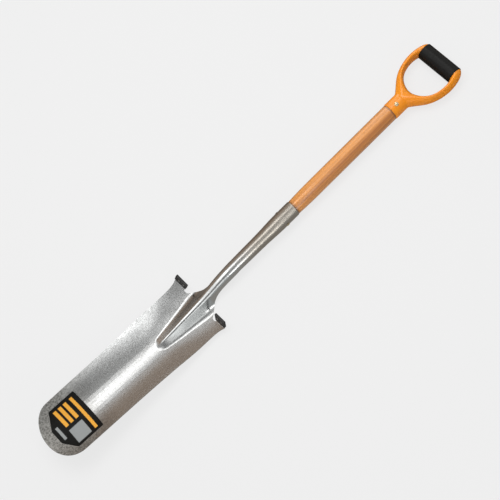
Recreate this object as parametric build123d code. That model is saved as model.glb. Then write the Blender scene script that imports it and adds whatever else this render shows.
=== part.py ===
from build123d import *
from math import asin, atan, atan2, cos, degrees, hypot, radians, sin, sqrt
import os

os.makedirs("parts", exist_ok=True)

# Planting spade, millimetres. The shaft runs along X with zero at the foot of the steps,
# the grip lies towards +X, the front of the blade faces +Z.

# Pressed sheet
SHEET = 1.8
FIT_GAP = 0.3
THROUGH = 60.0

# Blade: lifted straight below the bend, level above it, hollow across its width
BLADE_TIP = -395.8
TIP_DEPTH = 52.0
TIP_HALF_WIDTH = 60.5
STEP_HALF_WIDTH = 71.5
BEND_LOW = -122.0
BEND_HIGH = -60.0
BEND_HEIGHT = -19.3
LIFT = 0.15
DISH_LOW = 110.0
DISH_HIGH = 200.0
BLANK_HALF_WIDTH = 84.0
BLANK_NECK_HALF = 14.6

# Frog: the ridge pressed into the blade that grows into the neck
FROG_NOSE_HALF = 12.5
FROG_TOP_HALF = 24.9
FROG_RISE = 0.115
FILLET_NOSE = 7.0
FILLET_TOP = 16.0
FILLET_NECK = 5.0
NOSE_LENGTH = 14.0
NOSE_HEIGHT = 2.2
NOSE_TAPER = 0.55
CREST_NOSE = 4.5
CREST_TOP = 10.0
WAIST_END = 52.0
NECK_END = 100.0

# Socket
NECK_RADIUS = 13.5
NECK_TAPER = 0.018
SOCKET_LOW = 125.0
SOCKET_LOW_RADIUS = 13.95
SOCKET_MIDDLE = 184.0
SOCKET_MIDDLE_RADIUS = 15.1
SOCKET_RADIUS = 16.7
SOCKET_SWELL = 225.0
SOCKET_MOUTH = 262.0
MOUTH_ROUND = 1.4
SEAM_HALF = 0.8
SEAM_START = 172.0
TEARDROP_HALF = 13.2
SKIRT_START = 2.0
SKIRT_DEPTH = -28.0
SKIRT_END_DEPTH = -2.0

# Steps turned forward at the top of the blade, and their covers
STEP_ROOT = -2.2
STEP_INNER = 46.4
NOTCH_ROUND = 1.8
NOTCH_INNER = 39.0
STEP_ANGLE = 72.0
STEP_BEND = 3.0
STEP_DEPTH = 15.2
STEP_END_LEAN = 12.0
COVER_WALL = 1.2
COVER_CROWN = 0.9
COVER_FRONT_FOOT = -0.8
COVER_BACK_FOOT = 0.5
COVER_RIVET_LEVEL = 9.0
COVER_RIVET_SHARES = (0.22, 0.72)
COVER_RIVET_RADIUS = 1.5
COVER_RIVET_HEAD = 2.6
COVER_RIVET_RISE = 1.0

# Wooden shaft
SHAFT_START = 114.0
SHAFT_START_RADIUS = 9.0
SHAFT_MOUTH_RADIUS = 15.6
SHAFT_SWELL_END = 316.0
SHAFT_RADIUS = 17.1
SHAFT_TOP_RADIUS = 17.4
TENON_RADIUS = 15.0
TENON_LENGTH = 34.0
TENON_CHAMFER = 3.0

# D grip
FERRULE_EDGE = 533.6
FERRULE_RADIUS = 18.2
FERRULE_LENGTH = 29.0
TRUNK_LENGTH = 18.0
TRUNK_SPREAD = 9.0
TRUNK_DEPTH = 12.5
BAR_CENTRE = 674.2
BAR_HALF = 41.5
BAR_RADIUS = 16.4
CORE_RADIUS = 10.0
SLEEVE_RADIUS = 17.7

# Arm of the grip on the left: points from the ferrule's edge, fuller towards both ends
ARM_INNER = ((60.8, 17.5), (71.2, 31.6), (87.6, 40.8), (106, 44.3), (122, 42.6))
ARM_OUTER = ((45, 28.7), (62.5, 42.5), (84, 52.1), (106, 56.4), (134.5, 54.5))
ARM_HALF_DEPTH = 13.8
ARM_DEPTH_GAIN = 0.4
ARM_CREST = 2.6
ARM_CREST_GAIN = 0.6
ARM_CREST_SHARE = 0.42

# Rivets
SOCKET_RIVET_X = 231.0
GRIP_RIVET_X = 549.5
GRIP_RIVET_TURN = 11.0
RIVET_RADIUS = 3.0
RIVET_HEAD = 4.3
RIVET_RISE = 1.6


def ease(t):
    t = min(max(t, 0.0), 1.0)
    return t * t * (3.0 - 2.0 * t)


def mix(low, high, t):
    return low + (high - low) * t


# Pressed blade

def blade_height(x):
    span = BEND_HIGH - BEND_LOW
    below = min(x - BEND_LOW, 0.0)
    run = min(max(x - BEND_LOW, 0.0), span)
    return BEND_HEIGHT - LIFT * (below + run - run**2 / (2.0 * span))


def dish_radius(x):
    return mix(DISH_LOW, DISH_HIGH, ease(1.0 - x / BEND_LOW))


def nose_share(x):
    return ease((x - BEND_LOW) / NOSE_LENGTH)


def neck_radius(x):
    return NECK_RADIUS + NECK_TAPER * (x - NECK_END)


def crest_height(x):
    ridge = BEND_HEIGHT + NOSE_HEIGHT + FROG_RISE * (x - BEND_LOW)
    nose = mix(blade_height(x), ridge, nose_share(x))
    return mix(nose, neck_radius(x), ease(x / NECK_END))


def crest_radius(x):
    frog = mix(CREST_NOSE, CREST_TOP, 1.0 - x / BEND_LOW)
    return mix(frog, neck_radius(x), ease(x / NECK_END))


def fillet_radius(x):
    frog = mix(FILLET_NOSE, FILLET_TOP, 1.0 - x / BEND_LOW)
    return mix(frog, FILLET_NECK, ease(x / WAIST_END))


def frog_half_width(x):
    frog = mix(FROG_NOSE_HALF, FROG_TOP_HALF, 1.0 - x / BEND_LOW)
    frog *= mix(NOSE_TAPER, 1.0, sqrt(nose_share(x)))
    return mix(frog, NECK_RADIUS + 0.3, ease(x / WAIST_END))


def arc_about(centre, start, end):
    radius = (start - centre).length
    middle = centre + (start + end - centre * 2.0).normalized() * radius
    return ThreePointArc(start, middle, end)


def dish_point(x, angle, depth):
    radius = dish_radius(x)
    reach = radius + depth
    return Vector(x, reach * sin(angle), blade_height(x) + radius - reach * cos(angle))


def plain_points(x, depth):
    rim = asin(BLANK_HALF_WIDTH / dish_radius(x))
    angles = [rim, radians(9.0), radians(5.0), radians(1.5)]
    points = [dish_point(x, angle, depth) for angle in angles]
    centre = Vector(x, 0, blade_height(x) + dish_radius(x))
    return points, centre, centre, dish_point(x, 0.0, depth)


def frog_points(x, depth):
    radius = dish_radius(x)
    dish_centre = Vector(x, 0, blade_height(x) + radius)
    foot = frog_half_width(x)
    foot_height = blade_height(x) + radius - sqrt(radius**2 - foot**2)
    crest = crest_radius(x)
    crest_centre = Vector(x, 0, crest_height(x) - crest)
    rise = crest_centre.Z - foot_height
    slope = atan2(rise, foot) + asin(crest / hypot(rise, foot))
    along = Vector(0, cos(slope), -sin(slope))
    outward = Vector(0, sin(slope), cos(slope))
    fillet = fillet_radius(x)
    start = Vector(x, foot, foot_height) + outward * fillet - dish_centre
    travel = start.dot(along)
    slide = sqrt(travel**2 - start.dot(start) + (radius - fillet)**2) - travel
    fillet_centre = dish_centre + start + along * slide
    to_dish = (fillet_centre - dish_centre).normalized()
    edge = dish_point(x, asin(BLANK_HALF_WIDTH / radius), depth)
    on_dish = dish_centre + to_dish * (radius + depth)
    on_side = fillet_centre - outward * (fillet + depth)
    on_crest = crest_centre + outward * (crest - depth)
    top = crest_centre + Vector(0, 0, crest - depth)
    return [edge, on_dish, on_side, on_crest], dish_centre, fillet_centre, top


def mirrored(point):
    return Vector(point.X, -point.Y, point.Z)


def mirrored_edges(edges):
    return [mirror(item, about=Plane.XZ).edge() for item in edges]


def face_edges(points, dish_centre, fillet_centre, top):
    edge, on_dish, on_side, on_crest = points
    half = [arc_about(dish_centre, edge, on_dish), arc_about(fillet_centre, on_dish, on_side)]
    if fillet_centre == dish_centre:
        half.append(arc_about(dish_centre, on_side, on_crest))
    else:
        half.append(Line(on_side, on_crest))
    other = mirrored_edges(reversed(half))
    crest = ThreePointArc(on_crest, top, mirrored(on_crest))
    return half + [crest] + other


def sheet_section(x, points_at):
    front = points_at(x, 0.0)
    back = points_at(x, SHEET)
    ends = [Line(front[0][0], back[0][0]), Line(mirrored(front[0][0]), mirrored(back[0][0]))]
    edges = face_edges(*front) + [ends[1]] + list(reversed(face_edges(*back))) + [ends[0]]
    return Face(Wire(edges))


def blade_outline():
    tip_centre = BLADE_TIP + TIP_DEPTH
    side = Spline(
        (tip_centre, TIP_HALF_WIDTH), (-150, 63.4), (-50, 66.4), (STEP_ROOT, STEP_HALF_WIDTH),
        tangents=((1, 0.02), (1, 0.5)),
    )
    step_top = Line((STEP_ROOT, STEP_HALF_WIDTH), (STEP_ROOT, STEP_INNER))
    bottom = STEP_ROOT - NOTCH_ROUND
    relief = arc_about(
        Vector(STEP_ROOT, STEP_INNER - NOTCH_ROUND),
        Vector(STEP_ROOT, STEP_INNER),
        Vector(bottom, STEP_INNER - NOTCH_ROUND),
    )
    notch = Line((bottom, STEP_INNER - NOTCH_ROUND), (bottom, NOTCH_INNER))
    flare = Spline(
        (bottom, NOTCH_INNER), (3, 31.8), (20, 20.2), (34, 15.6), (WAIST_END, BLANK_NECK_HALF),
        tangents=((0.4, -1), (1, 0)),
    )
    run = Line((WAIST_END, BLANK_NECK_HALF), (NECK_END + 2, BLANK_NECK_HALF))
    half = [side, step_top, relief, notch, flare, run]
    other = mirrored_edges(half)
    tip = EllipticalCenterArc((tip_centre, 0), TIP_DEPTH, TIP_HALF_WIDTH, 90, arc_size=180)
    neck = Line((NECK_END + 2, BLANK_NECK_HALF), (NECK_END + 2, -BLANK_NECK_HALF))
    return make_face(half + other + [tip, neck])


def skirt_cut():
    start = (SKIRT_START, 0, SKIRT_DEPTH)
    end = (NECK_END + 1, 0, SKIRT_END_DEPTH)
    edge = Spline(start, (20, 0, -18.6), (36, 0, -12), (60, 0, -7), end)
    below = SKIRT_DEPTH - THROUGH
    rim = Polyline(end, (end[0], 0, below), (start[0], 0, below), start)
    return extrude(make_face([edge, rim]), THROUGH, dir=(0, 1, 0), both=True)


def pressed_blade():
    plain = sheet_section(BEND_LOW, plain_points)
    length = hypot(1.0, LIFT) * (BEND_LOW - BLADE_TIP + 4.0)
    lower = extrude(plain, length, dir=(-1, 0, LIFT))
    stations = [-118, -113, -105, -92, -68, -36, STEP_ROOT, 28, 56, 80, NECK_END]
    upper = loft([plain] + [sheet_section(x, frog_points) for x in stations])
    upper -= skirt_cut()
    blank = extrude(blade_outline(), 2.0 * THROUGH, both=True)
    return (lower & blank) + (upper & blank)


# Socket tube, open at the back where it runs out into the hollow of the frog

def socket_curve(depth):
    return Spline(
        (NECK_END, 0, NECK_RADIUS - depth),
        (SOCKET_LOW, 0, SOCKET_LOW_RADIUS - depth),
        (SOCKET_MIDDLE, 0, SOCKET_MIDDLE_RADIUS - depth),
        (SOCKET_SWELL, 0, SOCKET_RADIUS - depth),
        tangents=((1, 0, NECK_TAPER), (1, 0, 0)),
    )


def socket_tube():
    outer = socket_curve(0.0)
    inner = socket_curve(SHEET)
    bore = SOCKET_RADIUS - SHEET
    rounded = ThreePointArc(
        (SOCKET_MOUTH - MOUTH_ROUND, 0, SOCKET_RADIUS),
        (SOCKET_MOUTH - 0.3 * MOUTH_ROUND, 0, SOCKET_RADIUS - 0.3 * MOUTH_ROUND),
        (SOCKET_MOUTH, 0, SOCKET_RADIUS - MOUTH_ROUND),
    )
    edges = [
        outer,
        Line((SOCKET_SWELL, 0, SOCKET_RADIUS), (SOCKET_MOUTH - MOUTH_ROUND, 0, SOCKET_RADIUS)),
        rounded,
        Line((SOCKET_MOUTH, 0, SOCKET_RADIUS - MOUTH_ROUND), (SOCKET_MOUTH, 0, bore)),
        Line((SOCKET_MOUTH, 0, bore), (SOCKET_SWELL, 0, bore)),
        inner,
        Line((NECK_END, 0, NECK_RADIUS - SHEET), (NECK_END, 0, NECK_RADIUS)),
    ]
    tube = revolve(make_face(edges), Axis.X, 360)
    return tube - seam_cut()


def seam_cut():
    start = (NECK_END - 1, TEARDROP_HALF)
    side = Spline(start, (126, 9.8), (148, 4.2), (SEAM_START, SEAM_HALF), tangents=((1, -0.08), (1, 0)))
    slit = Line((SEAM_START, SEAM_HALF), (SOCKET_MOUTH + 5, SEAM_HALF))
    half = [side, slit]
    other = mirrored_edges(half)
    ends = [
        Line((SOCKET_MOUTH + 5, SEAM_HALF), (SOCKET_MOUTH + 5, -SEAM_HALF)),
        Line(start, (start[0], -start[1])),
    ]
    return extrude(make_face(half + other + ends), THROUGH, dir=(0, 0, -1))


# Steps: the top edge of each wing turned forward about the dish axis

STEP_HEIGHT = blade_height(STEP_ROOT)
DISH_AXIS = Axis((0, 0, STEP_HEIGHT + dish_radius(STEP_ROOT)), (1, 0, 0))


def step_turn(half_width):
    return degrees(asin(half_width / dish_radius(STEP_ROOT)))


def step_sector(profile, margin):
    inner = step_turn(STEP_INNER - margin)
    sector = revolve(profile, DISH_AXIS, 30.0 - inner).rotate(DISH_AXIS, inner)
    if sector.center().Y < 0:
        sector = mirror(sector, about=Plane.XZ)
    outer_side = STEP_HALF_WIDTH + margin
    root = dish_point(STEP_ROOT, radians(step_turn(STEP_HALF_WIDTH)), 0.0).Z
    beyond = Box(THROUGH, THROUGH, 2.0 * THROUGH, align=(Align.CENTER, Align.MIN, Align.CENTER))
    return sector - Pos(0, outer_side, root) * Rot(STEP_END_LEAN, 0, 0) * beyond


def along_step(distance, offset):
    turn = radians(STEP_ANGLE)
    bend_centre = Vector(STEP_ROOT, 0, STEP_HEIGHT + STEP_BEND)
    outward = Vector(sin(turn), 0, -cos(turn)) * (STEP_BEND + offset)
    return bend_centre + outward + Vector(cos(turn), 0, sin(turn)) * distance


def step_profile():
    bend_centre = Vector(STEP_ROOT, 0, STEP_HEIGHT + STEP_BEND)
    root = Vector(STEP_ROOT, 0, STEP_HEIGHT)
    front = [root, along_step(0, 0), along_step(STEP_DEPTH, 0)]
    back = [root - Vector(0, 0, SHEET), along_step(0, SHEET), along_step(STEP_DEPTH, SHEET)]
    edges = [
        arc_about(bend_centre, front[0], front[1]),
        Line(front[1], front[2]),
        Line(front[2], back[2]),
        Line(back[2], back[1]),
        arc_about(bend_centre, back[1], back[0]),
        Line(back[0], front[0]),
    ]
    return make_face(edges)


COVER_NEAR = -FIT_GAP - COVER_WALL
COVER_FAR = SHEET + FIT_GAP + COVER_WALL


def cover_outside():
    crown = STEP_DEPTH + FIT_GAP + COVER_WALL
    crest = ThreePointArc(
        along_step(crown, COVER_FAR),
        along_step(crown + COVER_CROWN, SHEET / 2),
        along_step(crown, COVER_NEAR),
    )
    walls = Polyline(
        along_step(crown, COVER_NEAR), along_step(COVER_FRONT_FOOT, COVER_NEAR),
        along_step(COVER_FRONT_FOOT, SHEET / 2), along_step(COVER_BACK_FOOT, SHEET / 2),
        along_step(COVER_BACK_FOOT, COVER_FAR), along_step(crown, COVER_FAR),
    )
    return make_face([walls, crest])


def cover_slot():
    corners = [(-2, -FIT_GAP), (STEP_DEPTH + FIT_GAP, -FIT_GAP)]
    corners += [(STEP_DEPTH + FIT_GAP, SHEET + FIT_GAP), (-2, SHEET + FIT_GAP)]
    return make_face(Polyline([along_step(*corner) for corner in corners], close=True))


def cover_rivet_places():
    normal = Vector(sin(radians(STEP_ANGLE)), 0, -cos(radians(STEP_ANGLE)))
    middle = Plane(along_step(COVER_RIVET_LEVEL, SHEET / 2), x_dir=(0, 1, 0), z_dir=normal)
    inner = step_turn(STEP_INNER)
    outer = step_turn(STEP_HALF_WIDTH)
    return middle, [mix(inner, outer, share) for share in COVER_RIVET_SHARES]


def left_step(solid):
    return solid if solid.center().Y > 0 else mirror(solid, about=Plane.XZ)


def rivet(radius, head, rise, grip):
    shank = Cylinder(radius, grip)
    dome = (head**2 + rise**2) / (2.0 * rise)
    cap = Sphere(dome) & Pos(0, 0, dome) * Box(3 * head, 3 * head, 2.0 * rise)
    cap = Pos(0, 0, grip / 2 + rise - dome) * cap
    return shank + cap + mirror(cap, about=Plane.XY)


def cover_rivets(radius, grip, headed):
    middle, angles = cover_rivet_places()
    solids = []
    for angle in angles:
        if headed:
            piece = rivet(radius, COVER_RIVET_HEAD, COVER_RIVET_RISE, grip)
        else:
            piece = Cylinder(radius, grip)
        placed = left_step((middle * piece).rotate(DISH_AXIS, angle))
        solids += [placed, mirror(placed, about=Plane.XZ)]
    return solids


def blade_and_socket():
    flange = step_sector(step_profile(), 0.0)
    body = pressed_blade() + socket_tube() + flange + mirror(flange, about=Plane.XZ)
    for hole in cover_rivets(COVER_RIVET_RADIUS, THROUGH / 3.0, False):
        body -= hole
    return body - Pos(SOCKET_RIVET_X, 0, 0) * Rot(90, 0, 0) * Cylinder(RIVET_RADIUS, THROUGH)


def step_cover():
    cover = step_sector(cover_outside(), FIT_GAP + COVER_WALL) - step_sector(cover_slot(), FIT_GAP)
    for hole in cover_rivets(COVER_RIVET_RADIUS, THROUGH / 3.0, False):
        cover -= hole
    return cover


# Wooden shaft, turned

GRIP_RIVET_PLACE = Pos(GRIP_RIVET_X, 0, 0) * Rot(GRIP_RIVET_TURN, 0, 0)


def handle_shaft():
    tight = SHEET + FIT_GAP
    mouth = SOCKET_RADIUS - tight
    swell_start = SOCKET_MOUTH + FIT_GAP
    shoulder = FERRULE_EDGE - FIT_GAP
    tenon_end = FERRULE_EDGE + TENON_LENGTH
    edges = [
        Line((SHAFT_START, 0, 0), (SHAFT_START, 0, SHAFT_START_RADIUS)),
        Spline(
            (SHAFT_START, 0, SHAFT_START_RADIUS), (SOCKET_LOW, 0, SOCKET_LOW_RADIUS - tight),
            tangents=((0.3, 0, 1), (1, 0, 0.02)),
        ),
        Spline(
            (SOCKET_LOW, 0, SOCKET_LOW_RADIUS - tight),
            (SOCKET_MIDDLE, 0, SOCKET_MIDDLE_RADIUS - tight),
            (SOCKET_SWELL, 0, mouth),
            tangents=((1, 0, 0.012), (1, 0, 0)),
        ),
        Polyline((SOCKET_SWELL, 0, mouth), (swell_start, 0, mouth), (swell_start, 0, SHAFT_MOUTH_RADIUS)),
        Spline(
            (swell_start, 0, SHAFT_MOUTH_RADIUS), (SHAFT_SWELL_END, 0, SHAFT_RADIUS),
            tangents=((1, 0, 0.06), (1, 0, 0.002)),
        ),
        Polyline(
            (SHAFT_SWELL_END, 0, SHAFT_RADIUS), (shoulder, 0, SHAFT_TOP_RADIUS),
            (shoulder, 0, TENON_RADIUS), (tenon_end - TENON_CHAMFER, 0, TENON_RADIUS),
            (tenon_end, 0, TENON_RADIUS - TENON_CHAMFER), (tenon_end, 0, 0), (SHAFT_START, 0, 0),
        ),
    ]
    wood = revolve(make_face(edges), Axis.X, 360)
    wood -= Pos(SOCKET_RIVET_X, 0, 0) * Rot(90, 0, 0) * Cylinder(RIVET_RADIUS, THROUGH)
    return wood - GRIP_RIVET_PLACE * Cylinder(RIVET_RADIUS, THROUGH)


# D grip: one ring of sections from bar end to bar end through the heart of the yoke

def oval(inner_reach, outer_reach, half_depth, crest):
    rise = half_depth - crest

    def touch(reach):
        side = (reach**2 + rise**2 - crest**2) / (2.0 * (reach - crest))
        return (reach - side) * (1.0 - side / (side - crest)), side * rise / (side - crest)

    inner_x, inner_y = touch(inner_reach)
    outer_x, outer_y = touch(outer_reach)
    edges = [
        ThreePointArc((outer_x, -outer_y), (outer_reach, 0), (outer_x, outer_y)),
        ThreePointArc((outer_x, outer_y), (0, half_depth), (-inner_x, inner_y)),
        ThreePointArc((-inner_x, inner_y), (-inner_reach, 0), (-inner_x, -inner_y)),
        ThreePointArc((-inner_x, -inner_y), (0, -half_depth), (outer_x, -outer_y)),
    ]
    return make_face(edges)


def arm_section(inner, outer, half_depth, crest, crest_place):
    start = Vector(FERRULE_EDGE + inner[0], inner[1])
    end = Vector(FERRULE_EDGE + outer[0], outer[1])
    width = (end - start).length
    across = (end - start).normalized()
    plane = Plane(start + across * width * crest_place, x_dir=across, z_dir=(across.Y, -across.X, 0))
    return plane * oval(width * crest_place, width * (1.0 - crest_place), half_depth, crest)


def grip_arms():
    bar = BAR_CENTRE - FERRULE_EDGE
    left = []
    for index, (inner, outer) in enumerate(zip(ARM_INNER, ARM_OUTER)):
        fullness = (index - len(ARM_INNER) // 2)**2
        half_depth = ARM_HALF_DEPTH + ARM_DEPTH_GAIN * fullness
        left.append((inner, outer, half_depth, ARM_CREST + ARM_CREST_GAIN * fullness, ARM_CREST_SHARE))
    ends = (bar - BAR_RADIUS, BAR_HALF), (bar + BAR_RADIUS, BAR_HALF)
    left.append((*ends, BAR_RADIUS + 0.1, BAR_RADIUS - 1.4, 0.5))
    heart = arm_section((56.6, 0), (12, 0), 17.0, 30.0, 0.5)
    right = [
        arm_section((inner[0], -inner[1]), (outer[0], -outer[1]), *form)
        for inner, outer, *form in reversed(left)
    ]
    return loft(right + [heart] + [arm_section(*item) for item in left])


def yoke_trunk():
    ring = Pos(FERRULE_EDGE, 0, 0) * Rot(0, 90, 0)
    collar = ring * extrude(Circle(FERRULE_RADIUS), FERRULE_LENGTH)
    collar = chamfer(collar.edges().filter_by(GeomType.CIRCLE).sort_by(Axis.X)[0], 1.2)
    sections = [ring * Pos(0, 0, FERRULE_LENGTH) * Rot(0, 0, 90) * Circle(FERRULE_RADIUS)]
    for t in (0.3, 0.65, 1.0):
        half_width = FERRULE_RADIUS + TRUNK_SPREAD * t * t
        half_depth = mix(FERRULE_RADIUS, TRUNK_DEPTH, ease(t))
        level = Pos(0, 0, FERRULE_LENGTH + TRUNK_LENGTH * t)
        sections.append(ring * level * Ellipse(half_depth, half_width))
    return collar + loft(sections)


def grip_yoke():
    core = Pos(BAR_CENTRE, 0, 0) * Rot(90, 0, 0) * Cylinder(CORE_RADIUS, 2.0 * BAR_HALF + 4.0)
    yoke = yoke_trunk() + grip_arms() + core
    bore = Pos(FERRULE_EDGE - 1, 0, 0) * Rot(0, 90, 0) * Cylinder(
        TENON_RADIUS + FIT_GAP, TENON_LENGTH + 2, align=(Align.CENTER, Align.CENTER, Align.MIN)
    )
    return yoke - bore - GRIP_RIVET_PLACE * Cylinder(RIVET_RADIUS, THROUGH)


def grip_sleeve():
    length = 2.0 * BAR_HALF
    sleeve = Cylinder(SLEEVE_RADIUS, length)
    sleeve = chamfer(sleeve.edges().filter_by(GeomType.CIRCLE), 0.8)
    sleeve -= Cylinder(CORE_RADIUS + FIT_GAP, length + 2)
    return Pos(BAR_CENTRE, 0, 0) * Rot(90, 0, 0) * sleeve


def socket_rivet():
    return Pos(SOCKET_RIVET_X, 0, 0) * Rot(90, 0, 0) * rivet(
        RIVET_RADIUS, RIVET_HEAD, RIVET_RISE, 2.0 * SOCKET_RADIUS
    )


def grip_rivet():
    return GRIP_RIVET_PLACE * rivet(RIVET_RADIUS, RIVET_HEAD, RIVET_RISE, 2.0 * FERRULE_RADIUS)


def cover_rivet_group():
    grip = SHEET + 2.0 * (FIT_GAP + COVER_WALL) + 0.1
    group = cover_rivets(COVER_RIVET_RADIUS, grip, True)
    return Compound([solid for item in group for solid in item.solids()])


def at_rest(pieces):
    heel = pieces["blade_and_socket"].bounding_box().min
    prop = pieces["grip_rivet"].bounding_box().min
    tilt = degrees(atan((prop.Z - heel.Z) / (GRIP_RIVET_X - BEND_HIGH)))
    laid = {name: piece.moved(Rot(0, tilt, 0)) for name, piece in pieces.items()}
    boxes = [piece.bounding_box() for piece in laid.values()]
    low = min(box.min.X for box in boxes)
    high = max(box.max.X for box in boxes)
    shift = Pos(-(low + high) / 2.0, 0, -min(box.min.Z for box in boxes))
    return {name: piece.moved(shift) for name, piece in laid.items()}


cover = step_cover()
pieces = {
    "blade_and_socket": blade_and_socket(),
    "handle_shaft": handle_shaft(),
    "grip_yoke": grip_yoke(),
    "grip_sleeve": grip_sleeve(),
    "step_cover_left": cover,
    "step_cover_right": mirror(cover, about=Plane.XZ),
    "cover_rivets": cover_rivet_group(),
    "socket_rivet": socket_rivet(),
    "grip_rivet": grip_rivet(),
}
for name, piece in at_rest(pieces).items():
    export_step(piece, f"parts/{name}.step")
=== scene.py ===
"""Planting spade: finishes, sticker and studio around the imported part."""

from math import asin, cos, radians, sin

import bmesh
import bpy
from bpy.props import FloatProperty, FloatVectorProperty, PointerProperty
from mathutils import Matrix, Vector


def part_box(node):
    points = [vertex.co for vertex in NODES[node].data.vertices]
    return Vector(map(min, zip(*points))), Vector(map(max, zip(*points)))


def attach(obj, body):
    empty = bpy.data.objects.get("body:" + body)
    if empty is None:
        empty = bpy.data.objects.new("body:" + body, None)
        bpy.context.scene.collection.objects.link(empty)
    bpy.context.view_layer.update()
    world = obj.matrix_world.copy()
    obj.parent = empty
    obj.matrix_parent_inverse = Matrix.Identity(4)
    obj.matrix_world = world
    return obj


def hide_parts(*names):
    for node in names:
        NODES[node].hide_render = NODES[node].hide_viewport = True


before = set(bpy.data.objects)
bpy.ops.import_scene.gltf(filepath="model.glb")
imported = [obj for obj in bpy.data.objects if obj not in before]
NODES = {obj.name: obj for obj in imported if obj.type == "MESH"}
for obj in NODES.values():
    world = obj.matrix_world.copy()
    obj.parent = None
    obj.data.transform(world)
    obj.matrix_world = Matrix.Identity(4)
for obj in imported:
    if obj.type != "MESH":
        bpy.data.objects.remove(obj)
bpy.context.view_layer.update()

bl_info = {
    "name": "Planting spade",
    "version": (1, 0, 0),
    "blender": (4, 5, 0),
    "location": "View3D > Sidebar > Spade",
    "description": "Builds the finishes, the sticker and the studio of a planting spade",
    "category": "Object",
}

BODY = "root"

# Places along the spade, metres in the frame
BLADE_LOW, BLADE_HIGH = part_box("blade_and_socket")
BLADE_TIP = BLADE_LOW[0]
SOCKET_MOUTH = BLADE_HIGH[0]
FERRULE_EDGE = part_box("grip_yoke")[0][0]

# Pressed ridge of the blade: where it starts, where the neck leaves it and its half width there
RIDGE_NOSE = BLADE_TIP + 0.278
NECK_START = BLADE_TIP + 0.396
RIDGE_HALF = 0.025

# Lean of the shaft as the spade lies
REST_LEAN = radians(0.433)

# Dish of the blade below the bend: radius, fall along the blade and height at the tip
DISH_RADIUS = 0.110
DISH_FALL = 0.1576
DISH_TIP_HEIGHT = 0.0487

# Zones of the steel along the blade, metres from its tip: where each begins and where it is full
MATT_TIP = (0.15, 0.06)
ROUGH_TIP = (0.12, 0.06)
# Painted shade on the lower left wing
SHADED_LOWER_WING = (0.24, 0.13)
# Painted highlight on the left wing, fading out before the steps
BRIGHT_WING = (0.235, 0.30)
BRIGHT_WING_TOP = (0.35, 0.315)
HIGHLIGHT_TOP = (0.385, 0.345)

# The same across the blade, metres to the left of its middle, and outwards from the side of the ridge
LEFT_HALF = (-0.015, 0.03)
# Painted highlight along the left rim
LEFT_RIM = (0.032, 0.055)
# Painted shade low on the left wing and on the ridge's left flank
LEFT_LOWER = (0.008, 0.026)
LEFT_FLANK = (-0.002, 0.007)
RIDGE_FOOT = (-0.004, 0.003)

# The same from the ridge's nose, from the neck's start and from the socket's mouth
NOSE_RISE = (0.0, 0.02)
SHEET_TOP = (0.03, -0.01)
FLANK_TOP = (0.04, -0.02)
DULL_SOCKET = (-0.186, -0.096)

# Speckle of the finishes: size of the grains and of the broad clouds, metres
STEEL_SPECKLE = (0.0031, 0.0065)
ENAMEL_SPECKLE = (0.0016, 0.02)
RUBBER_SPECKLE = (0.0012, 0.012)
ZINC_SPECKLE = (0.0015, 0.008)
FILM_SPECKLE = (0.002, 0.02)

# Levels of noise between which the grains and the clouds rise from nothing to full
GRAIN_LEVELS = (0.34, 0.68)
CLOUD_LEVELS = (0.36, 0.66)

# Roughness of the finishes, where their clouds or streaks are lowest and highest
STEEL_ROUGH = (0.19, 0.22)
WOOD_ROUGH = (0.34, 0.46)
ENAMEL_ROUGH = (0.20, 0.26)
SLEEVE_ROUGH = (0.34, 0.46)
COVER_ROUGH = (0.5, 0.65)
ZINC_ROUGH = (0.18, 0.30)
FILM_ROUGH = (0.42, 0.52)

# Bumps of the finishes: strength, and height in metres
STEEL_BUMP = (0.045, 0.0004)
WOOD_BUMP = (0.10, 0.0003)
ENAMEL_BUMP = (0.012, 0.0002)
RUBBER_BUMP = (0.12, 0.0003)
FILM_BUMP = (0.03, 0.0002)

# Steel: what the sheet, the socket and the tip add to its roughness
SHEET_ROUGHER, SOCKET_ROUGHER, TIP_ROUGHER = 0.06, 0.10, 0.34

# Steel: depth of its dark grains on the right and on the left half, what the painted highlight of the left
# wing leaves of it, how the clouds vary the grains, and the painted shade of the ridge's left flank and of
# the lower left wing
GRAIN_DEPTH = (0.42, 0.66)
HIGHLIGHT_GRAIN_DEPTH = (1.0, 0.75)
GRAIN_VARIES = (0.6, 1.3)
FLANK_SHADE, LOWER_SHADE = 0.55, 0.5

# Wood: repeats per metre along and across the grain, levels of noise of its dark streaks and pores, the
# shade of the pores, the levels that its roughness follows, and the lacquer
WOOD_PORES = (7.0, 420.0, 420.0)
WOOD_STREAKS = (2.0, 190.0, 190.0)
STREAK_LEVELS = (0.43, 0.66)
PORE_LEVELS = (0.52, 0.74)
PORE_SHADE = 0.6
SHEEN_LEVELS = (0.3, 0.7)
LACQUER_ROUGH, LACQUER_IOR = 0.17, 1.65

# Wood: its redder right side, partly redder wood and partly painted shade: metres to the left of its
# middle, the depth of it, how that grows from the socket's mouth to a place short of the ferrule, and how
# the streaks vary it
RED_AND_SHADED_SIDE = (0.006, -0.012)
RED_AND_SHADE_DEPTH = 0.5
RED_AND_SHADE_GROWS = (0.2, 1.1)
RED_AND_SHADE_END = -0.03
RED_AND_SHADE_LEVELS = (0.36, 0.64)
RED_AND_SHADE_VARIES = (0.6, 1.4)

# Wood: dirt and painted shadow at both joints, metres from each, their depth there, and how light their
# tone is beside the dark wood
SOCKET_DIRT_AND_SHADOW, FERRULE_DIRT_AND_SHADOW = (0.006, 0.0), (-0.004, 0.0)
SOCKET_DIRT_AND_SHADOW_DEPTH, FERRULE_DIRT_AND_SHADOW_DEPTH = 0.8, 0.9
DIRT_AND_SHADOW_TONE = 0.3

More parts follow.
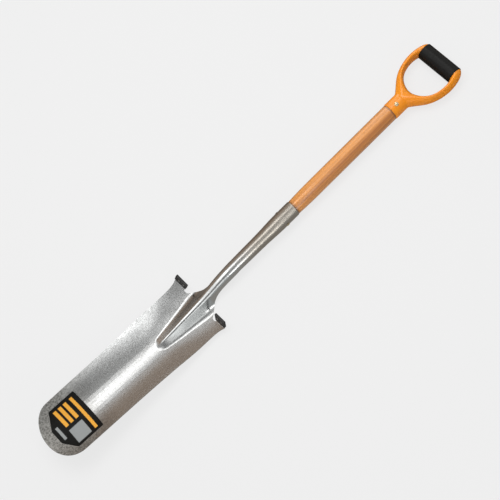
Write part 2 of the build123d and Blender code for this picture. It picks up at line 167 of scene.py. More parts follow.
# Print of the sticker, in shares of its width and length: left, right, low, high, and half its soft edge
PRINT_PANEL = (0.56, 0.93, 0.31, 0.70)
PRINT_TOP_BAR = (0.07, 0.93, 0.80, 0.88)
PRINT_FOOT_BAR = (0.34, 0.66, 0.10, 0.17)
PRINT_BARS = [(0.07, 0.47, low, low + 0.09) for low in (0.31, 0.46, 0.61)]
PRINT_EDGE = 0.006

# Film of the sticker: how far its black is rubbed, and its gloss
FILM_WORN, FILM_GLOSS = 0.1, 0.08

# Steps of the new pieces: corners and strips of the sticker, rings of a rivet's head and steps round it
CORNER_STEPS, STICKER_STRIPS = 6, 24
HEAD_RINGS, TURN_STEPS = 10, 48

# Rivets: distance in metres within which points are joined, and angle from which an edge is sharp
WELD_DISTANCE = 0.000001
SHARP_ANGLE = radians(35.0)

# Studio: point the camera looks at, width of its sensor in millimetres, reach of the floor and how much of
# it glows by itself where it is seen
VIEW_CENTRE = (-0.0053, 0.0025, 0.0202)
SENSOR_WIDTH = 36.0
FLOOR_REACH = 20.0
FLOOR_GLOW = 0.88

# Softboxes: middle, point that each is aimed at, and size
KEY_BOX = ((0.40, 0.58, 1.71), (0.40, 0.0, 0.0), (2.00, 0.62))
FILL_BOX = ((0.00, -1.39, 0.855), (0.00, 0.0, 0.0), (0.42, 0.40))
WASH_BOX = ((0.2, 0.5, 1.95), (0.0, 0.0, 0.0), (1.6, 1.2))

# Cards that show only in reflections: name, middle, facing, size, tint and fade of both ends along X
UP, DOWN = (0.0, 0.0, 1.0), (0.0, 0.0, -1.0)
TO_LEFT, TO_RIGHT = (0.0, 1.0, 0.0), (0.0, -1.0, 0.0)
CARDS = (
    ("Far card", (0.0, 1.7, 0.9), TO_RIGHT, (5.0, 1.8), (0.345, 0.272, 0.216), 0.0),
    ("Ceiling card", (0.0, 0.1, 2.0), DOWN, (5.0, 3.2), (0.38, 0.385, 0.385), 0.0),
    ("Tip card", (-0.65, 0.494, 1.783), (0.0, -0.494, -1.783), (0.9, 1.53), (1.35, 1.37, 1.37), 0.0),
    ("Wing card", (0.41, -0.95, 1.76), (0.0, 0.95, -1.76), (0.30, 1.1), (2.10, 2.13, 2.13), 0.04),
    ("Rim card", (0.24, -1.68, 1.65), TO_LEFT, (0.44, 0.66), (2.00, 2.03, 2.03), 0.10),
    ("Grip card", (1.0, 1.68, 0.8), TO_RIGHT, (1.1, 1.3), (1.15, 1.13, 1.10), 0.2),
    ("Yoke card", (1.30, 1.66, 0.9), TO_RIGHT, (0.9, 1.7), (2.50, 2.45, 2.35), 0.08),
    ("Yoke ceiling card", (1.38, 0.65, 1.97), DOWN, (0.9, 1.9), (1.9, 1.9, 1.85), 0.1),
    ("Yoke flag", (1.35, -1.68, 0.9), TO_LEFT, (1.1, 1.8), (0.10, 0.10, 0.10), 0.15),
    ("Yoke floor flag", (1.05, -0.85, 0.002), UP, (1.3, 1.7), (0.08, 0.08, 0.08), 0.08),
    ("Side card", (-0.74, -1.65, 1.42), TO_LEFT, (0.70, 1.06), (1.55, 1.6, 1.6), 0.25),
    ("Flag card", (-0.68, -0.87, 1.96), DOWN, (0.96, 0.85), (0.18, 0.185, 0.19), 0.12),
    ("Near card", (0.0, -1.7, 0.9), TO_LEFT, (5.0, 1.8), (0.38, 0.40, 0.40), 0.0),
    ("Far floor card", (0.0, 0.85, 0.001), UP, (5.0, 1.7), (0.22, 0.185, 0.155), 0.0),
    ("Near floor card", (0.0, -0.85, 0.001), UP, (5.0, 1.7), (0.34, 0.33, 0.31), 0.0),
)


def colour(name, description, default):
    return FloatVectorProperty(
        name=name, description=description, subtype="COLOR", size=3, min=0.0, max=1.0, default=default
    )


def length(name, description, default):
    return FloatProperty(name=name, description=description, unit="LENGTH", default=default)


def angle(name, description, default):
    return FloatProperty(name=name, description=description, subtype="ANGLE", default=radians(default))


def power(name, description, default):
    return FloatProperty(name=name, description=description, unit="POWER", default=default)


class SpadeFinishes(bpy.types.PropertyGroup):
    """Colours of the spade's finishes, linear"""

    steel: colour("Steel", "Bright satin sheet", (0.60, 0.60, 0.595))
    # Painted highlight on the left wing and its rim
    steel_highlight: colour("Bright steel", "Rubbed sheet of the left wing", (0.84, 0.84, 0.835))
    # Also the painted shade on the ridge's left flank and on the lower left wing
    steel_dark: colour("Steel shade", "Darker grains of the sheet", (0.30, 0.295, 0.286))
    steel_matt: colour("Matt steel", "Dull sheet at the tip", (0.41, 0.40, 0.378))
    steel_pitted: colour("Pitted steel", "Darker grains of the dull sheet", (0.15, 0.145, 0.136))
    socket: colour("Socket", "Duller sheet towards the mouth of the socket", (0.46, 0.42, 0.37))
    wood: colour("Wood", "Lacquered ash", (0.82, 0.33, 0.062))
    # Also painted shade on the shaft's right side, and with dirt, painted shadow at its joints
    wood_dark: colour("Wood grain", "Late wood between the rings", (0.43, 0.138, 0.014))
    orange: colour("Orange", "Enamel of the yoke", (0.90, 0.300, 0.012))
    orange_deep: colour("Orange shade", "Enamel where it ran thicker", (0.86, 0.265, 0.006))
    black: colour("Black", "Moulded rubber", (0.006, 0.0058, 0.0052))
    black_worn: colour("Rubbed black", "Rubber where hands and boots rub it", (0.045, 0.0443, 0.0436))
    zinc: colour("Zinc", "Plated rivets", (0.84, 0.72, 0.48))
    zinc_dark: colour("Zinc shade", "Dull plating", (0.48, 0.39, 0.24))
    zinc_stained: colour("Stained zinc", "Dirty plating of the small rivets", (0.16, 0.15, 0.13))
    amber: colour("Amber", "Bars of the sticker", (0.84, 0.40, 0.055))
    grey: colour("Grey", "Panel of the sticker", (0.31, 0.322, 0.322))


class SpadeSticker(bpy.types.PropertyGroup):
    """Sizes of the sticker on the blade"""

    across: length("Width", "Across the blade, along its curve", 0.095)
    along: length("Length", "Along the blade", 0.0815)
    from_tip: length("Distance", "From the blade's tip to the sticker's lower edge", 0.022)
    foot: length("Foot", "Width of its lower edge", 0.030)
    slope: length("Slope", "Length of its sloping corners along the blade", 0.021)
    corner: length("Corner", "Radius of its corners", 0.0025)
    thickness: length("Thickness", "Film and glue", 0.0003)


class SpadeRivets(bpy.types.PropertyGroup):
    """Sizes of the cross rivets"""

    shank: length("Shank", "Radius under the heads", 0.003)
    head: length("Head", "Radius of the round heads", 0.0043)
    rise: length("Rise", "Height of the round heads", 0.0016)
    socket_length: length("Socket rivet", "Over both heads", 0.0366)
    grip_length: length("Grip rivet", "Over both heads", 0.0396)
    grip_turn: angle("Grip rivet turn", "Off the middle plane, as drilled", 11.0)


class SpadeStudio(bpy.types.PropertyGroup):
    """Camera and light of the studio"""

    pale: colour("Background", "Floor and backdrop", (0.863, 0.863, 0.863))
    distance: length("Camera distance", "From the middle of the spade", 2.353)
    elevation: angle("Camera elevation", "Above the floor", 70.05)
    azimuth: angle("Camera azimuth", "Turn round the spade, from its right side", -12.96)
    roll: angle("Camera roll", "Turn about the line of sight", -32.66)
    lens: FloatProperty(
        name="Lens", description="Focal length on a 36 mm sensor", unit="CAMERA", default=86.51
    )
    room_light: FloatProperty(name="Room light", description="Even light from all round", default=0.43)
    key_power: power("Key power", "Long softbox over the left side", 7.2)
    fill_power: power("Fill power", "Softbox low on the right", 1.95)
    wash_power: power("Wash power", "Broad light overhead that metal doesn't mirror", 21.5)


# Node helpers

def new_material(name):
    material = bpy.data.materials.new(name)
    material.use_nodes = True
    tree = material.node_tree
    return material, tree, tree.nodes["Principled BSDF"]


def add(tree, kind, **values):
    node = tree.nodes.new(kind)
    for name, value in values.items():
        setattr(node, name, value)
    return node


def put(tree, socket, value):
    if isinstance(value, bpy.types.NodeSocket):
        tree.links.new(value, socket)
    elif hasattr(value, "__len__") and len(value) == 3 and socket.type == "RGBA":
        socket.default_value = (*value, 1.0)
    else:
        socket.default_value = value


def place(tree, scale=(1.0, 1.0, 1.0)):
    source = add(tree, "ShaderNodeTexCoord")
    mapping = add(tree, "ShaderNodeMapping")
    mapping.inputs["Scale"].default_value = scale
    tree.links.new(source.outputs["Object"], mapping.inputs["Vector"])
    return mapping.outputs["Vector"]


def axis_of(tree, vector, name):
    node = add(tree, "ShaderNodeSeparateXYZ")
    tree.links.new(vector, node.inputs["Vector"])
    return node.outputs[name]


def noise(tree, vector, scale, detail, roughness=0.55):
    node = add(tree, "ShaderNodeTexNoise")
    put(tree, node.inputs["Scale"], scale)
    node.inputs["Detail"].default_value = detail
    node.inputs["Roughness"].default_value = roughness
    tree.links.new(vector, node.inputs["Vector"])
    return node.outputs["Fac"]


def spread(tree, value, low, high, to_low=0.0, to_high=1.0, smooth=False):
    node = add(tree, "ShaderNodeMapRange", interpolation_type="SMOOTHSTEP" if smooth else "LINEAR")
    for name, bound in (("From Min", low), ("From Max", high), ("To Min", to_low), ("To Max", to_high)):
        put(tree, node.inputs[name], bound)
    tree.links.new(value, node.inputs["Value"])
    return node.outputs["Result"]


def between(tree, share, ends):
    """Goes from the first end to the second as the share goes from nothing to full"""
    return spread(tree, share, 0.0, 1.0, *ends)


def zone(tree, value, edges, origin=0.0, full=1.0, smooth=True):
    """Rises from nothing at the first edge to full at the second"""
    return spread(tree, value, origin + edges[0], origin + edges[1], 0.0, full, smooth)


def maths(tree, operation, first, second):
    node = add(tree, "ShaderNodeMath", operation=operation)
    put(tree, node.inputs[0], first)
    put(tree, node.inputs[1], second)
    return node.outputs["Value"]


def product(tree, first, *others):
    for other in others:
        first = maths(tree, "MULTIPLY", first, other)
    return first


def blend_colours(tree, factor, first, second):
    node = add(tree, "ShaderNodeMix", data_type="RGBA")
    put(tree, node.inputs["Factor"], factor)
    put(tree, node.inputs[6], first)
    put(tree, node.inputs[7], second)
    return node.outputs[2]


def bump(tree, height, strength, distance):
    node = add(tree, "ShaderNodeBump")
    node.inputs["Strength"].default_value = strength
    node.inputs["Distance"].default_value = distance
    tree.links.new(height, node.inputs["Height"])
    return node.outputs["Normal"]


# Effects that several finishes share

def new_group(name, inputs, outputs):
    group = bpy.data.node_groups.new(name, "ShaderNodeTree")
    for label, kind in inputs:
        group.interface.new_socket(name=label, in_out="INPUT", socket_type=kind)
    for label, kind in outputs:
        group.interface.new_socket(name=label, in_out="OUTPUT", socket_type=kind)
    return group, add(group, "NodeGroupInput").outputs, add(group, "NodeGroupOutput").inputs


def speckle_group():
    """Grains of a pressed or moulded skin: Grain is sharp, Cloud is broad"""
    group, given, result = new_group(
        "Speckle",
        [("Grain size", "NodeSocketFloat"), ("Cloud size", "NodeSocketFloat")],
        [("Grain", "NodeSocketFloat"), ("Cloud", "NodeSocketFloat")],
    )
    where = place(group)
    grain_scale = maths(group, "DIVIDE", 1.0, given["Grain size"])
    cloud_scale = maths(group, "DIVIDE", 1.0, given["Cloud size"])
    grain = spread(group, noise(group, where, grain_scale, detail=2.0), *GRAIN_LEVELS)
    cloud = spread(group, noise(group, where, cloud_scale, detail=4.0), *CLOUD_LEVELS)
    group.links.new(grain, result["Grain"])
    group.links.new(cloud, result["Cloud"])
    return group


def speckle(tree, sizes):
    node = add(tree, "ShaderNodeGroup", node_tree=bpy.data.node_groups.get("Speckle") or speckle_group())
    for name, size in zip(("Grain size", "Cloud size"), sizes):
        node.inputs[name].default_value = size
    return node.outputs["Grain"], node.outputs["Cloud"]


# Finishes

def steel_finish(finishes):
    material, tree, shader = new_material("Satin steel")
    grain, cloud = speckle(tree, STEEL_SPECKLE)
    x = axis_of(tree, place(tree), "X")
    y = axis_of(tree, place(tree), "Y")

    # Flat sheet beside the ridge, where it is dulled or matt, and where a painted highlight lights the
    # left wing
    dull = zone(tree, x, DULL_SOCKET, SOCKET_MOUTH)
    matt = zone(tree, x, MATT_TIP, BLADE_TIP)
    left = zone(tree, y, LEFT_HALF)
    wing = product(
        tree, left, zone(tree, x, BRIGHT_WING, BLADE_TIP), zone(tree, x, BRIGHT_WING_TOP, BLADE_TIP)
    )
    # Painted highlight on the left wing and its rim, fading out before the steps
    wing_highlight = maths(tree, "MAXIMUM", wing, zone(tree, y, LEFT_RIM))
    wing_highlight = product(tree, wing_highlight, zone(tree, x, HIGHLIGHT_TOP, BLADE_TIP))
    ridge_half = spread(tree, x, RIDGE_NOSE, NECK_START, 0.0, RIDGE_HALF)
    beyond_ridge = maths(tree, "SUBTRACT", maths(tree, "ABSOLUTE", y, 0.0), ridge_half)
    flat = zone(tree, beyond_ridge, RIDGE_FOOT, smooth=False)
    sheet = product(tree, flat, zone(tree, x, SHEET_TOP, NECK_START))

    # Painted shade: darker left flank of the ridge and darker lower part of the left wing
    ridge = maths(tree, "SUBTRACT", zone(tree, x, NOSE_RISE, RIDGE_NOSE, smooth=False), flat)
    flank = product(
        tree,
        between(tree, ridge, (0.0, FLANK_SHADE)),
        zone(tree, y, LEFT_FLANK, smooth=False),
        zone(tree, x, FLANK_TOP, NECK_START, smooth=False),
    )
    lower = product(
        tree,
        zone(tree, y, LEFT_LOWER),
        zone(tree, x, SHADED_LOWER_WING, BLADE_TIP, full=LOWER_SHADE, smooth=False),
    )

    # Colour: the sheet with its painted highlight and dark grains, then the painted shade, then the matt
    # tip
    bright = blend_colours(tree, dull, finishes.steel, finishes.socket)
    bright = blend_colours(tree, product(tree, wing_highlight, sheet), bright, finishes.steel_highlight)
    depth = product(tree, between(tree, left, GRAIN_DEPTH), between(tree, wing_highlight, HIGHLIGHT_GRAIN_DEPTH))
    speck = product(tree, grain, between(tree, cloud, GRAIN_VARIES))
    tone = blend_colours(tree, product(tree, speck, depth, sheet), bright, finishes.steel_dark)
    tone = blend_colours(tree, maths(tree, "MAXIMUM", flank, lower), tone, finishes.steel_dark)
    # Darker, rougher sheet at the tip
    tip_tone = blend_colours(tree, speck, finishes.steel_matt, finishes.steel_pitted)
    tone = blend_colours(tree, matt, tone, tip_tone)

    rough = between(tree, cloud, STEEL_ROUGH)
    rough_tip = zone(tree, x, ROUGH_TIP, BLADE_TIP)
    for share, rougher in ((sheet, SHEET_ROUGHER), (dull, SOCKET_ROUGHER), (rough_tip, TIP_ROUGHER)):
        rough = maths(tree, "ADD", rough, product(tree, share, rougher))
    shader.inputs["Metallic"].default_value = 1.0
    tree.links.new(tone, shader.inputs["Base Color"])
    tree.links.new(rough, shader.inputs["Roughness"])
    tree.links.new(bump(tree, product(tree, grain, sheet), *STEEL_BUMP), shader.inputs["Normal"])
    return material


def wood_finish(finishes):
    material, tree, shader = new_material("Lacquered wood")
    pores = noise(tree, place(tree, WOOD_PORES), scale=1.0, detail=3.0, roughness=0.6)
    streaks = noise(tree, place(tree, WOOD_STREAKS), scale=1.0, detail=4.0, roughness=0.6)
    tone = blend_colours(tree, spread(tree, streaks, *STREAK_LEVELS), finishes.wood, finishes.wood_dark)
    dark_pores = spread(tree, pores, *PORE_LEVELS, 0.0, PORE_SHADE)
    tone = blend_colours(tree, dark_pores, tone, finishes.wood_dark)
    x = axis_of(tree, place(tree), "X")
    y = axis_of(tree, place(tree), "Y")
    # Redder wood and painted shade on the right side of the shaft, deepening towards the ferrule
    red_and_shade = product(
        tree,
        spread(tree, x, SOCKET_MOUTH, FERRULE_EDGE + RED_AND_SHADE_END, *RED_AND_SHADE_GROWS),
        zone(tree, y, RED_AND_SHADED_SIDE, full=RED_AND_SHADE_DEPTH),
        spread(tree, streaks, *RED_AND_SHADE_LEVELS, *RED_AND_SHADE_VARIES),
    )
    tone = blend_colours(tree, red_and_shade, tone, finishes.wood_dark)
    # Dirt and painted shadow where the wood meets the socket and the ferrule
    joint_dirt_and_shadow = maths(
        tree,
        "MAXIMUM",
        zone(tree, x, SOCKET_DIRT_AND_SHADOW, SOCKET_MOUTH, full=SOCKET_DIRT_AND_SHADOW_DEPTH, smooth=False),
        zone(tree, x, FERRULE_DIRT_AND_SHADOW, FERRULE_EDGE, full=FERRULE_DIRT_AND_SHADOW_DEPTH, smooth=False),
    )
    tone = blend_colours(tree, joint_dirt_and_shadow, tone, tuple(DIRT_AND_SHADOW_TONE * part for part in finishes.wood_dark))
    tree.links.new(tone, shader.inputs["Base Color"])
    tree.links.new(spread(tree, streaks, *SHEEN_LEVELS, *WOOD_ROUGH), shader.inputs["Roughness"])
    shader.inputs["Coat Weight"].default_value = 1.0
    shader.inputs["Coat Roughness"].default_value = LACQUER_ROUGH
    shader.inputs["Coat IOR"].default_value = LACQUER_IOR
    tree.links.new(bump(tree, pores, *WOOD_BUMP), shader.inputs["Normal"])
    return material


def orange_finish(finishes):
    material, tree, shader = new_material("Orange enamel")
    grain, cloud = speckle(tree, ENAMEL_SPECKLE)
    tone = blend_colours(tree, cloud, finishes.orange, finishes.orange_deep)
    tree.links.new(tone, shader.inputs["Base Color"])
    tree.links.new(between(tree, cloud, ENAMEL_ROUGH), shader.inputs["Roughness"])
    tree.links.new(bump(tree, grain, *ENAMEL_BUMP), shader.inputs["Normal"])
    return material


def rubber_finish(name, finishes, worn, gloss, rough):
    material, tree, shader = new_material(name)
    grain, cloud = speckle(tree, RUBBER_SPECKLE)
    share = between(tree, cloud, (0.6 * worn, worn))
    tone = blend_colours(tree, share, finishes.black, finishes.black_worn)
    tree.links.new(tone, shader.inputs["Base Color"])
    tree.links.new(between(tree, cloud, rough), shader.inputs["Roughness"])
    shader.inputs["Specular IOR Level"].default_value = gloss
    tree.links.new(bump(tree, grain, *RUBBER_BUMP), shader.inputs["Normal"])
    return material


def zinc_finish(name, bright, dark):
    material, tree, shader = new_material(name)
    grain, cloud = speckle(tree, ZINC_SPECKLE)
    tree.links.new(blend_colours(tree, grain, bright, dark), shader.inputs["Base Color"])
    tree.links.new(between(tree, cloud, ZINC_ROUGH), shader.inputs["Roughness"])
    shader.inputs["Metallic"].default_value = 1.0
    return material


def dress(names, material):
    for name in names:
        NODES[name].data.materials.clear()
        NODES[name].data.materials.append(material)


class SPADE_OT_blade(bpy.types.Operator):
    """Finish the blade and its socket"""

    bl_idname = "spade.blade"
    bl_label = "Blade and socket"

    def execute(self, context):
        dress(["blade_and_socket"], steel_finish(context.scene.spade_finishes))
        return {"FINISHED"}


# Sticker: a flat film with rounded corners, bent to the dish of the blade

def box_mask(tree, across, along, left, right, low, high):
    return product(
        tree,
        spread(tree, across, left - PRINT_EDGE, left + PRINT_EDGE),
        spread(tree, across, right + PRINT_EDGE, right - PRINT_EDGE),
        spread(tree, along, low - PRINT_EDGE, low + PRINT_EDGE),
        spread(tree, along, high + PRINT_EDGE, high - PRINT_EDGE),
    )


def print_finish(finishes):
    material, tree, shader = new_material("Printed film")
    source = add(tree, "ShaderNodeUVMap", uv_map="Print")
    across = axis_of(tree, source.outputs["UV"], "X")
    along = axis_of(tree, source.outputs["UV"], "Y")
    grain, cloud = speckle(tree, FILM_SPECKLE)
    tone = blend_colours(tree, between(tree, cloud, (0.0, FILM_WORN)), finishes.black, finishes.black_worn)
    prints = [(PRINT_PANEL, finishes.grey), (PRINT_TOP_BAR, finishes.amber)]
    prints += [(bar, finishes.amber) for bar in PRINT_BARS]
    prints.append((PRINT_FOOT_BAR, finishes.grey))
    for box, ink in prints:
        tone = blend_colours(tree, box_mask(tree, across, along, *box), tone, ink)
    tree.links.new(tone, shader.inputs["Base Color"])
    tree.links.new(between(tree, cloud, FILM_ROUGH), shader.inputs["Roughness"])
    tree.links.new(bump(tree, grain, *FILM_BUMP), shader.inputs["Normal"])
    shader.inputs["Specular IOR Level"].default_value = FILM_GLOSS
    return material


def bent_to_dish(point, from_tip):
    turn = point.y / DISH_RADIUS
    reach = from_tip + point.x
    height = DISH_TIP_HEIGHT - DISH_FALL * reach + DISH_RADIUS * (1.0 - cos(turn)) + point.z
    return Vector((BLADE_TIP + reach, DISH_RADIUS * sin(turn), height))


class SPADE_OT_sticker(bpy.types.Operator):
    """Lay the sticker on the blade"""

    bl_idname = "spade.sticker"
    bl_label = "Sticker"

    def execute(self, context):
        sticker = context.scene.spade_sticker
        shape = bmesh.new()
        side, end = sticker.across / 2.0, sticker.along / 2.0
        left = [(end, side), (sticker.slope - end, side), (-end, sticker.foot / 2.0)]
        right = [(x, -y) for x, y in reversed(left)]
        shape.faces.new([shape.verts.new((x, y, 0.0)) for x, y in left + right])
        bmesh.ops.bevel(shape, geom=shape.verts[:], offset=sticker.corner, affect="VERTICES",
                        segments=CORNER_STEPS, profile=0.5, material=-1)
        for strip in range(1, STICKER_STRIPS):
            cut = (0.0, sticker.across * (strip / STICKER_STRIPS - 0.5), 0.0)
            bmesh.ops.bisect_plane(shape, geom=shape.verts[:] + shape.edges[:] + shape.faces[:],
                                   plane_co=cut, plane_no=(0.0, 1.0, 0.0))
        prints = shape.loops.layers.uv.new("Print")
        for face in shape.faces:
            for corner in face.loops:
                flat = corner.vert.co
                corner[prints].uv = (0.5 - flat.y / sticker.across, 0.5 + flat.x / sticker.along)
        film = bmesh.ops.extrude_face_region(shape, geom=shape.faces[:])["geom"]
        top = [item for item in film if isinstance(item, bmesh.types.BMVert)]
        bmesh.ops.translate(shape, vec=(0.0, 0.0, sticker.thickness), verts=top)
        for vert in shape.verts:
            vert.co = bent_to_dish(vert.co, sticker.from_tip + sticker.along / 2.0)
        bmesh.ops.recalc_face_normals(shape, faces=shape.faces[:])
        mesh = bpy.data.meshes.new("blade_sticker")
        shape.to_mesh(mesh)
        shape.free()
        mesh.materials.append(print_finish(context.scene.spade_finishes))
        piece = bpy.data.objects.new("blade_sticker", mesh)
        context.scene.collection.objects.link(piece)
        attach(piece, BODY)
        return {"FINISHED"}


class SPADE_OT_shaft(bpy.types.Operator):
    """Finish the wooden shaft"""

    bl_idname = "spade.shaft"
    bl_label = "Shaft"

    def execute(self, context):
        dress(["handle_shaft"], wood_finish(context.scene.spade_finishes))
        return {"FINISHED"}


class SPADE_OT_grip(bpy.types.Operator):
    """Finish the yoke and the sleeve of the grip"""

    bl_idname = "spade.grip"
    bl_label = "Grip"

    def execute(self, context):
        finishes = context.scene.spade_finishes
        dress(["grip_yoke"], orange_finish(finishes))
        finish = rubber_finish("Sleeve rubber", finishes, worn=0.05, gloss=0.15, rough=SLEEVE_ROUGH)
        dress(["grip_sleeve"], finish)
        return {"FINISHED"}


class SPADE_OT_covers(bpy.types.Operator):
    """Finish the covers of the steps"""

    bl_idname = "spade.covers"
    bl_label = "Step covers"

    def execute(self, context):
        finishes = context.scene.spade_finishes
        finish = rubber_finish("Cover rubber", finishes, worn=1.0, gloss=0.28, rough=COVER_ROUGH)
        dress(["step_cover_left", "step_cover_right"], finish)
        return {"FINISHED"}


# Cross rivets, turned about their own axis

def turned_rivet(rivets, across):
    half = across / 2.0
    dome = (rivets.head**2 + rivets.rise**2) / (2.0 * rivets.rise)
    rim = asin(rivets.head / dome)
    turns = [rim * ring / HEAD_RINGS for ring in range(HEAD_RINGS + 1)]
    outline = [(dome * sin(turn), half - dome * (1.0 - cos(turn))) for turn in turns]
    outline.append((rivets.shank, half - rivets.rise))
    outline += [(radius, -level) for radius, level in reversed(outline)]
    shape = bmesh.new()
    verts = [shape.verts.new((radius, 0.0, level)) for radius, level in outline]
    edges = [shape.edges.new(pair) for pair in zip(verts, verts[1:])]
    bmesh.ops.spin(shape, geom=verts + edges, axis=(0.0, 0.0, 1.0), cent=(0.0, 0.0, 0.0),
                   angle=radians(360.0), steps=TURN_STEPS, use_merge=True)
    bmesh.ops.remove_doubles(shape, verts=shape.verts[:], dist=WELD_DISTANCE)
    bmesh.ops.recalc_face_normals(shape, faces=shape.faces[:])
    return shape


def seat_rivet(node, shape, turn, finish):
    low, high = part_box(node)
    middle = (Vector(low) + Vector(high)) / 2.0
    seat = Matrix.Translation(middle) @ Matrix.Rotation(REST_LEAN, 4, "Y") @ Matrix.Rotation(turn, 4, "X")
    bmesh.ops.transform(shape, matrix=seat, verts=shape.verts[:])
    for face in shape.faces:
        face.smooth = True
    mesh = bpy.data.meshes.new(f"{node}_turned")
    shape.to_mesh(mesh)
    shape.free()
    mesh.set_sharp_from_angle(angle=SHARP_ANGLE)
    mesh.materials.append(finish)
    piece = bpy.data.objects.new(f"{node}_turned", mesh)
    bpy.context.scene.collection.objects.link(piece)
    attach(piece, BODY)
    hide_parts(node)


class SPADE_OT_rivets(bpy.types.Operator):
    """Make the cross rivets and finish the small rivets of the covers"""

    bl_idname = "spade.rivets"
    bl_label = "Rivets"

    def execute(self, context):
        rivets, finishes = context.scene.spade_rivets, context.scene.spade_finishes
        finish = zinc_finish("Zinc plating", finishes.zinc, finishes.zinc_dark)
        dress(["cover_rivets"], zinc_finish("Stained zinc", finishes.steel_dark, finishes.zinc_stained))
        seat_rivet("socket_rivet", turned_rivet(rivets, rivets.socket_length), radians(90.0), finish)
        seat_rivet("grip_rivet", turned_rivet(rivets, rivets.grip_length), rivets.grip_turn, finish)
        return {"FINISHED"}


# Studio

def aimed(location, target, roll=0.0):
    sight = Vector(target) - Vector(location)
    turn = sight.to_track_quat("-Z", "Y").to_matrix().to_4x4()
    return Matrix.Translation(location) @ turn @ Matrix.Rotation(roll, 4, "Z")


def add_camera(studio):
    middle = Vector(VIEW_CENTRE)
    level = studio.distance * cos(studio.elevation)
    offset = Vector((level * sin(studio.azimuth), -level * cos(studio.azimuth),
                     studio.distance * sin(studio.elevation)))
    data = bpy.data.cameras.new("Camera")
    data.lens = studio.lens
    data.sensor_width = SENSOR_WIDTH
    camera = bpy.data.objects.new("Camera", data)
    bpy.context.scene.collection.objects.link(camera)
    camera.matrix_world = aimed(middle + offset, middle, studio.roll)
    bpy.context.scene.camera = camera


def add_softbox(name, location, target, size, watts, mirrored=True):
    data = bpy.data.lights.new(name, "AREA")
    data.shape = "RECTANGLE"
    data.size, data.size_y = size
    data.energy = watts
    light = bpy.data.objects.new(name, data)
    bpy.context.scene.collection.objects.link(light)
    light.matrix_world = aimed(location, target)
    light.visible_glossy = mirrored


def add_card(name, location, facing, size, tint, fade):
    mesh = bpy.data.meshes.new(name)
    shape = bmesh.new()
    bmesh.ops.create_grid(shape, x_segments=1, y_segments=1, size=0.5)
    turn = aimed(location, Vector(location) + Vector(facing)) @ Matrix.Diagonal((*size, 1.0, 1.0))
    bmesh.ops.transform(shape, matrix=turn, verts=shape.verts)
    shape.to_mesh(mesh)
    shape.free()
    card = bpy.data.objects.new(name, mesh)
    bpy.context.scene.collection.objects.link(card)
    material, tree, shader = new_material(name)
    shader.inputs["Base Color"].default_value = (0.0, 0.0, 0.0, 1.0)
    shader.inputs["Specular IOR Level"].default_value = 0.0
    shader.inputs["Emission Color"].default_value = (*tint, 1.0)
    shader.inputs["Emission Strength"].default_value = 1.0
    if fade:
        x = axis_of(tree, place(tree), "X")
        low, high = location[0] - size[0] / 2.0, location[0] + size[0] / 2.0
        lit = product(tree, zone(tree, x, (low, low + fade)), zone(tree, x, (high, high - fade)))
        clear = add(tree, "ShaderNodeBsdfTransparent")
        both = add(tree, "ShaderNodeMixShader")
        tree.links.new(lit, both.inputs["Fac"])
        tree.links.new(clear.outputs["BSDF"], both.inputs[1])
        tree.links.new(shader.outputs["BSDF"], both.inputs[2])
        tree.links.new(both.outputs["Shader"], tree.nodes["Material Output"].inputs["Surface"])
    mesh.materials.append(material)
    card.visible_camera = False
    card.visible_diffuse = False
    card.visible_shadow = False


def floor_finish(studio):
    material = bpy.data.materials.new("Pale floor")
    material.use_nodes = True
    tree = material.node_tree
    tree.nodes.clear()
    rays = add(tree, "ShaderNodeLightPath")
    seen = maths(tree, "MAXIMUM", rays.outputs["Is Camera Ray"], rays.outputs["Is Glossy Ray"])
    share = product(tree, seen, FLOOR_GLOW)
    matt = add(tree, "ShaderNodeBsdfDiffuse")
    matt.inputs["Color"].default_value = (*studio.pale, 1.0)
    glow = add(tree, "ShaderNodeEmission")
    glow.inputs["Color"].default_value = (*studio.pale, 1.0)
    both = add(tree, "ShaderNodeMixShader")
    tree.links.new(share, both.inputs["Fac"])
    tree.links.new(matt.outputs["BSDF"], both.inputs[1])
    tree.links.new(glow.outputs["Emission"], both.inputs[2])
    output = add(tree, "ShaderNodeOutputMaterial")
    tree.links.new(both.outputs["Shader"], output.inputs["Surface"])
    return material


def add_floor(studio):
    mesh = bpy.data.meshes.new("Floor")
    shape = bmesh.new()
    bmesh.ops.create_grid(shape, x_segments=1, y_segments=1, size=FLOOR_REACH)
    shape.to_mesh(mesh)
    shape.free()
    mesh.materials.append(floor_finish(studio))
    floor = bpy.data.objects.new("Floor", mesh)
    bpy.context.scene.collection.objects.link(floor)


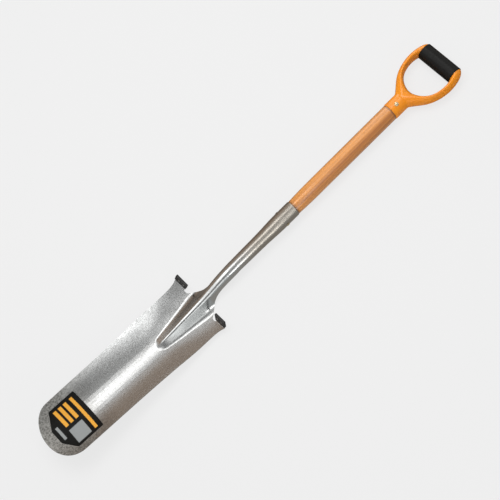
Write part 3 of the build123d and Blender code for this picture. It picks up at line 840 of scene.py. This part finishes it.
def set_world(studio):
    world = bpy.data.worlds.new("Studio")
    bpy.context.scene.world = world
    world.use_nodes = True
    tree = world.node_tree
    tree.nodes.clear()
    rays = add(tree, "ShaderNodeLightPath")
    seen = maths(tree, "MAXIMUM", rays.outputs["Is Camera Ray"], rays.outputs["Is Glossy Ray"])
    fill = add(tree, "ShaderNodeBackground")
    fill.inputs["Color"].default_value = (1.0, 1.0, 1.0, 1.0)
    fill.inputs["Strength"].default_value = studio.room_light
    backdrop = add(tree, "ShaderNodeBackground")
    backdrop.inputs["Color"].default_value = (*studio.pale, 1.0)
    both = add(tree, "ShaderNodeMixShader")
    tree.links.new(seen, both.inputs["Fac"])
    tree.links.new(fill.outputs["Background"], both.inputs[1])
    tree.links.new(backdrop.outputs["Background"], both.inputs[2])
    output = add(tree, "ShaderNodeOutputWorld")
    tree.links.new(both.outputs["Shader"], output.inputs["Surface"])


class SPADE_OT_stage(bpy.types.Operator):
    """Set up the floor, the light and the camera"""

    bl_idname = "spade.stage"
    bl_label = "Stage"

    def execute(self, context):
        studio = context.scene.spade_studio
        add_camera(studio)
        add_floor(studio)
        set_world(studio)
        add_softbox("Key", *KEY_BOX, studio.key_power)
        add_softbox("Fill", *FILL_BOX, studio.fill_power)
        add_softbox("Wash", *WASH_BOX, studio.wash_power, mirrored=False)
        for card in CARDS:
            add_card(*card)
        context.scene.view_settings.view_transform = "Standard"
        return {"FINISHED"}


class SPADE_PT_panel(bpy.types.Panel):
    """Pieces of the spade and its stage"""

    bl_idname = "SPADE_PT_panel"
    bl_label = "Planting spade"
    bl_space_type = "VIEW_3D"
    bl_region_type = "UI"
    bl_category = "Spade"

    def draw(self, context):
        for operator in OPERATORS:
            self.layout.operator(operator.bl_idname)


OPERATORS = (
    SPADE_OT_blade, SPADE_OT_sticker, SPADE_OT_shaft, SPADE_OT_grip, SPADE_OT_covers, SPADE_OT_rivets,
    SPADE_OT_stage,
)
GROUPS = {
    "spade_finishes": SpadeFinishes,
    "spade_sticker": SpadeSticker,
    "spade_rivets": SpadeRivets,
    "spade_studio": SpadeStudio,
}
CLASSES = (*GROUPS.values(), *OPERATORS, SPADE_PT_panel)


def register():
    for item in CLASSES:
        bpy.utils.register_class(item)
    for name, group in GROUPS.items():
        setattr(bpy.types.Scene, name, PointerProperty(type=group))


def unregister():
    for name in GROUPS:
        delattr(bpy.types.Scene, name)
    for item in reversed(CLASSES):
        bpy.utils.unregister_class(item)


def main():
    register()
    bpy.ops.spade.blade()
    bpy.ops.spade.sticker()
    bpy.ops.spade.shaft()
    bpy.ops.spade.grip()
    bpy.ops.spade.covers()
    bpy.ops.spade.rivets()
    bpy.ops.spade.stage()


if __name__ == "__main__":
    main()
